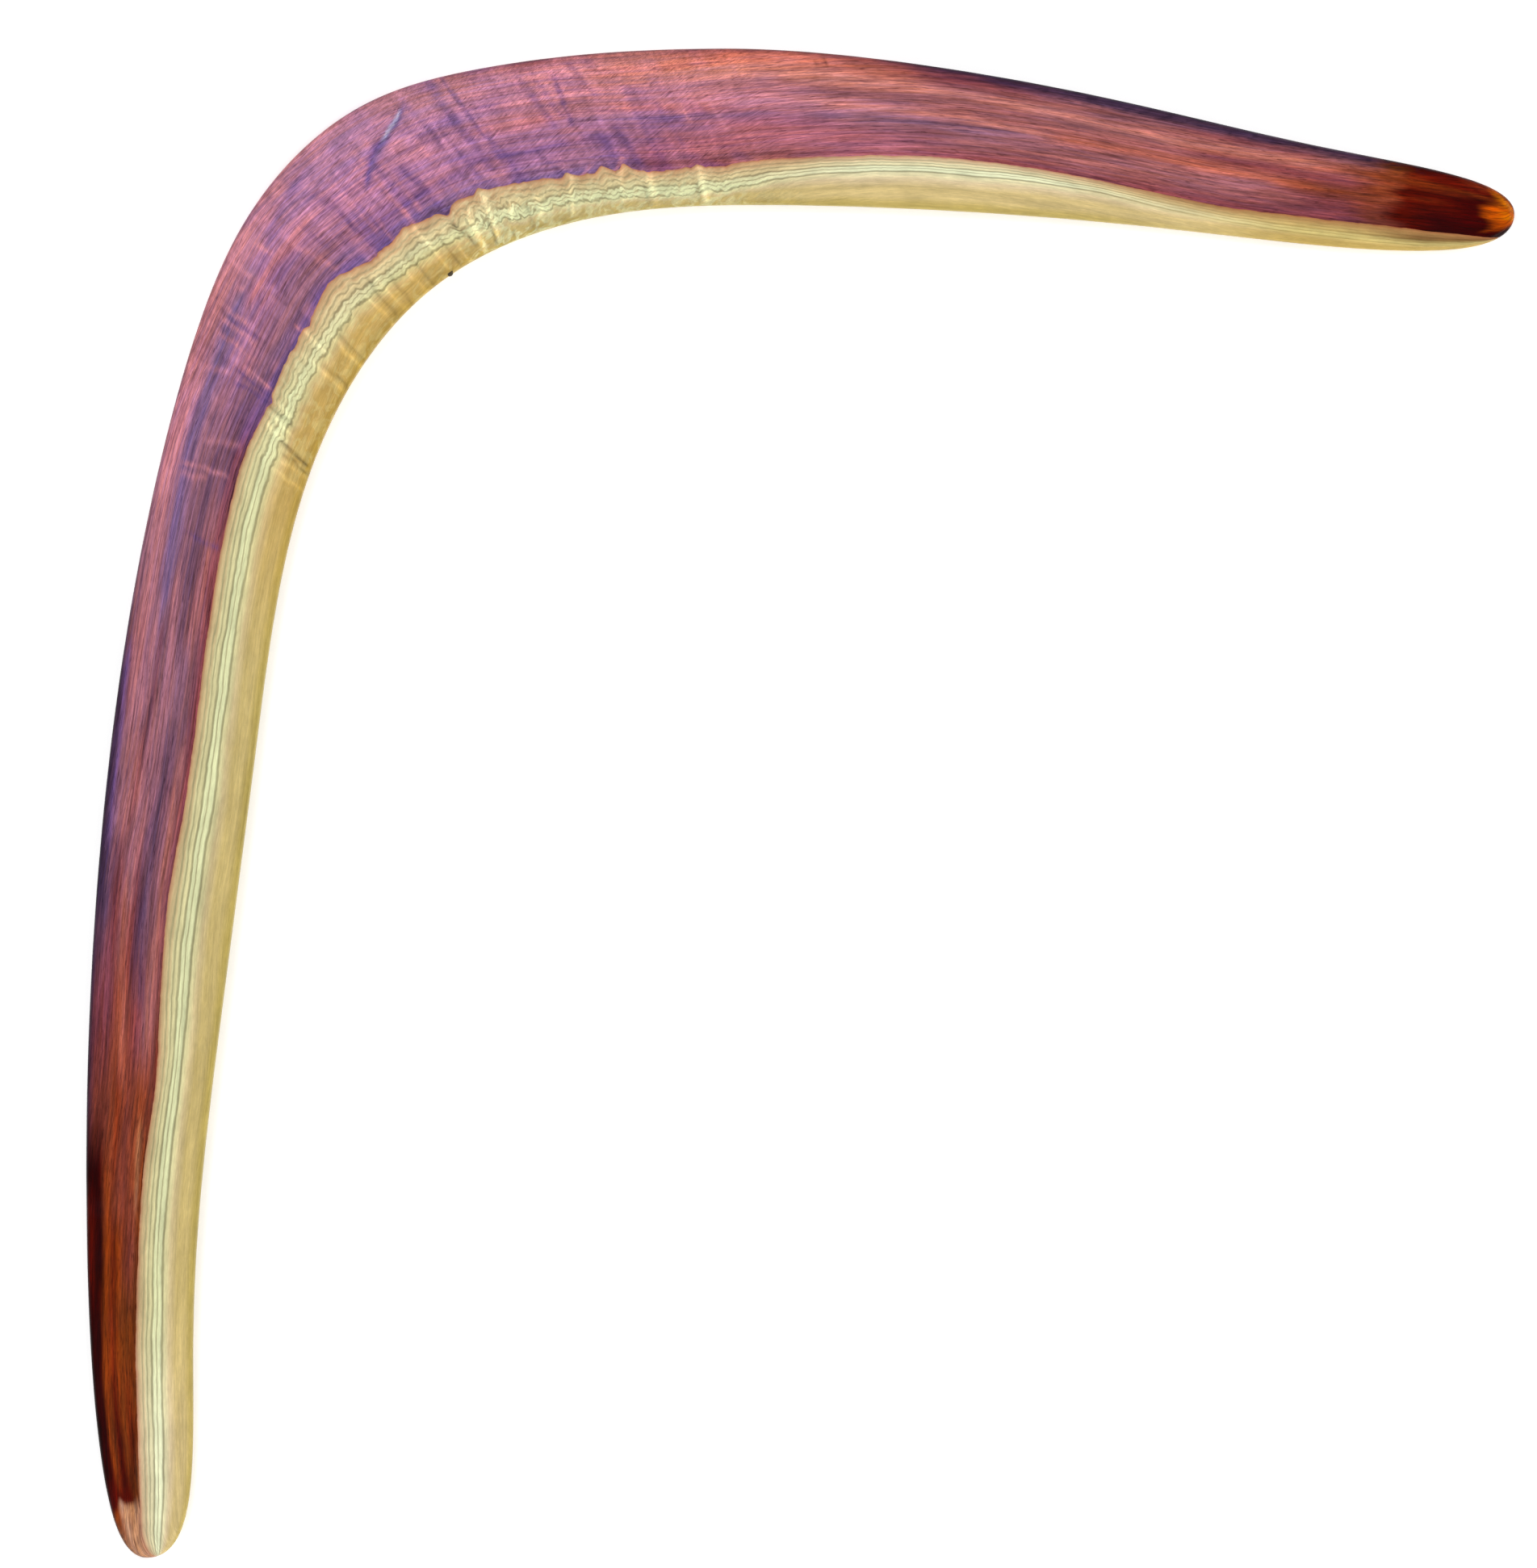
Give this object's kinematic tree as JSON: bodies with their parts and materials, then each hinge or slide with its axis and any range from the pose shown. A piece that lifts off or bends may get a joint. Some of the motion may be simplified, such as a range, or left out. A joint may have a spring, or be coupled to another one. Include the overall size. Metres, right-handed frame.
{
  "type": "boomerang",
  "caption": "One-piece carved wooden boomerang with a natural elbow: dark heartwood outside, pale sapwood along the inner edge, crowned top, flat underside.",
  "frame": {"origin": "under the middle of the bounding box, in the plane of the flat underside", "axes": "+Z out of the crowned top, +Y along the lower arm towards the elbow, +X from the elbow along the upper arm"},
  "size_m": [0.39, 0.412, 0.0105],
  "materials": {
    "heartwood": "dense purple-brown hardwood under a clear satin oil finish",
    "sapwood": "cream-yellow sapwood under the same clear satin oil finish",
    "bark": "dark brown bark, matt"
  },
  "bodies": {
    "root": {"heartwood": "heartwood", "sapwood": "sapwood", "bark_fleck": "bark"}
  },
  "joints": []
}
